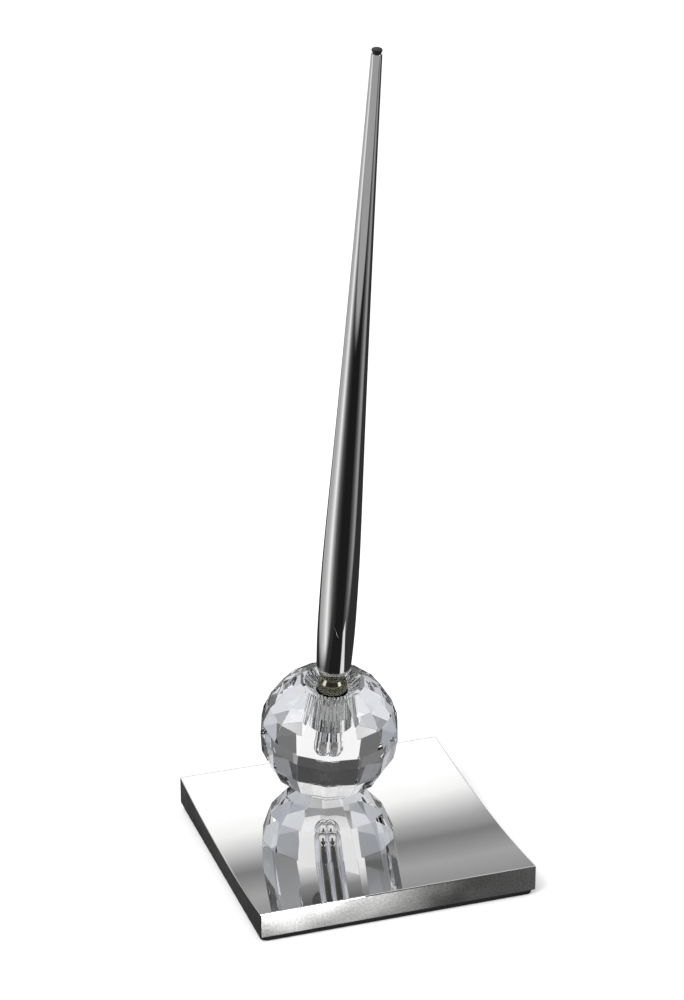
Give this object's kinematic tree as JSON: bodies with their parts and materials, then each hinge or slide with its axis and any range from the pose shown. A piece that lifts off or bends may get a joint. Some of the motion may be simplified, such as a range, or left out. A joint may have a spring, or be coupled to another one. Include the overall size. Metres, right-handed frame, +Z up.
{
  "type": "desk pen set",
  "caption": "Tapered metal ballpoint desk pen standing in a faceted crystal ball on a square polished plate with a hollow top.",
  "frame": {"origin": "centre of the flat underside of the foam pad, which rests on the desk", "axes": "+Z up, -Y towards the front edge that the pen leans over, +X to the right along that edge"},
  "size_m": [0.08, 0.0815, 0.2377],
  "materials": {
    "polished_steel": "mirror-polished hollow top, satin sides",
    "adhesive_film": "clear double-sided film",
    "foam": "fine-cell black foam",
    "bond": "clear cured adhesive",
    "crystal": "clear cut crystal with polished facets",
    "liner": "clear moulded plastic",
    "seat_rubber": "matt",
    "dark_nickel": "polished black-nickel plate",
    "holder_plastic": "moulded",
    "barrel_chrome": "mirror-polished plate",
    "brass": "turned",
    "plug_dark": "satin black",
    "refill_brass": "drawn tube",
    "tip_metal": "turned",
    "ink": "wet",
    "follower": "wet grease",
    "carbide": "lapped"
  },
  "bodies": {
    "stand": {"base_plate": "polished_steel", "adhesive_film": "adhesive_film", "base_pad": "foam", "bond_disc": "bond", "crystal_ball": "crystal", "socket_liner": "liner"},
    "seat": {"seat_ring": "seat_rubber"},
    "nose": {"nose_section": "dark_nickel", "refill_holder": "holder_plastic"},
    "collar": {"trim_ring": "dark_nickel"},
    "barrel": {"barrel": "barrel_chrome", "thread_insert": "brass", "end_plug": "plug_dark"},
    "refill": {"refill_tube": "refill_brass", "refill_tip": "tip_metal", "ink_column": "ink", "ink_follower": "follower"},
    "point": {"writing_ball": "carbide"}
  },
  "joints": [
    {"name": "pen_spin", "type": "hinge", "parent": "stand", "child": "seat", "pos_m": [0, 0.02143, 0.02761], "axis": [0, -0.1874, 0.9823], "continuous": true},
    {"name": "pen_lift", "type": "slide", "parent": "seat", "child": "nose", "axis": [0, -0.1874, 0.9823], "range_m": [0, 0.05]},
    {"name": "barrel_advance", "type": "slide", "parent": "nose", "child": "collar", "axis": [0, -0.1874, 0.9823], "range_m": [0, 0.0045]},
    {"name": "barrel_turn", "type": "hinge", "parent": "collar", "child": "barrel", "pos_m": [0, 0.02143, 0.02761], "axis": [0, -0.1874, 0.9823], "range_deg": [0, 2160]},
    {"name": "refill_pull", "type": "slide", "parent": "nose", "child": "refill", "axis": [0, -0.1874, 0.9823], "range_m": [0, 0.05]},
    {"name": "point_roll", "type": "hinge", "parent": "refill", "child": "point", "pos_m": [0, 0.02202, 0.02446], "axis": [1, 0, 0], "continuous": true}
  ],
  "couplings": [
    {"joint": "barrel_turn", "follows": "barrel_advance", "rad_per_m": 8377.6}
  ]
}
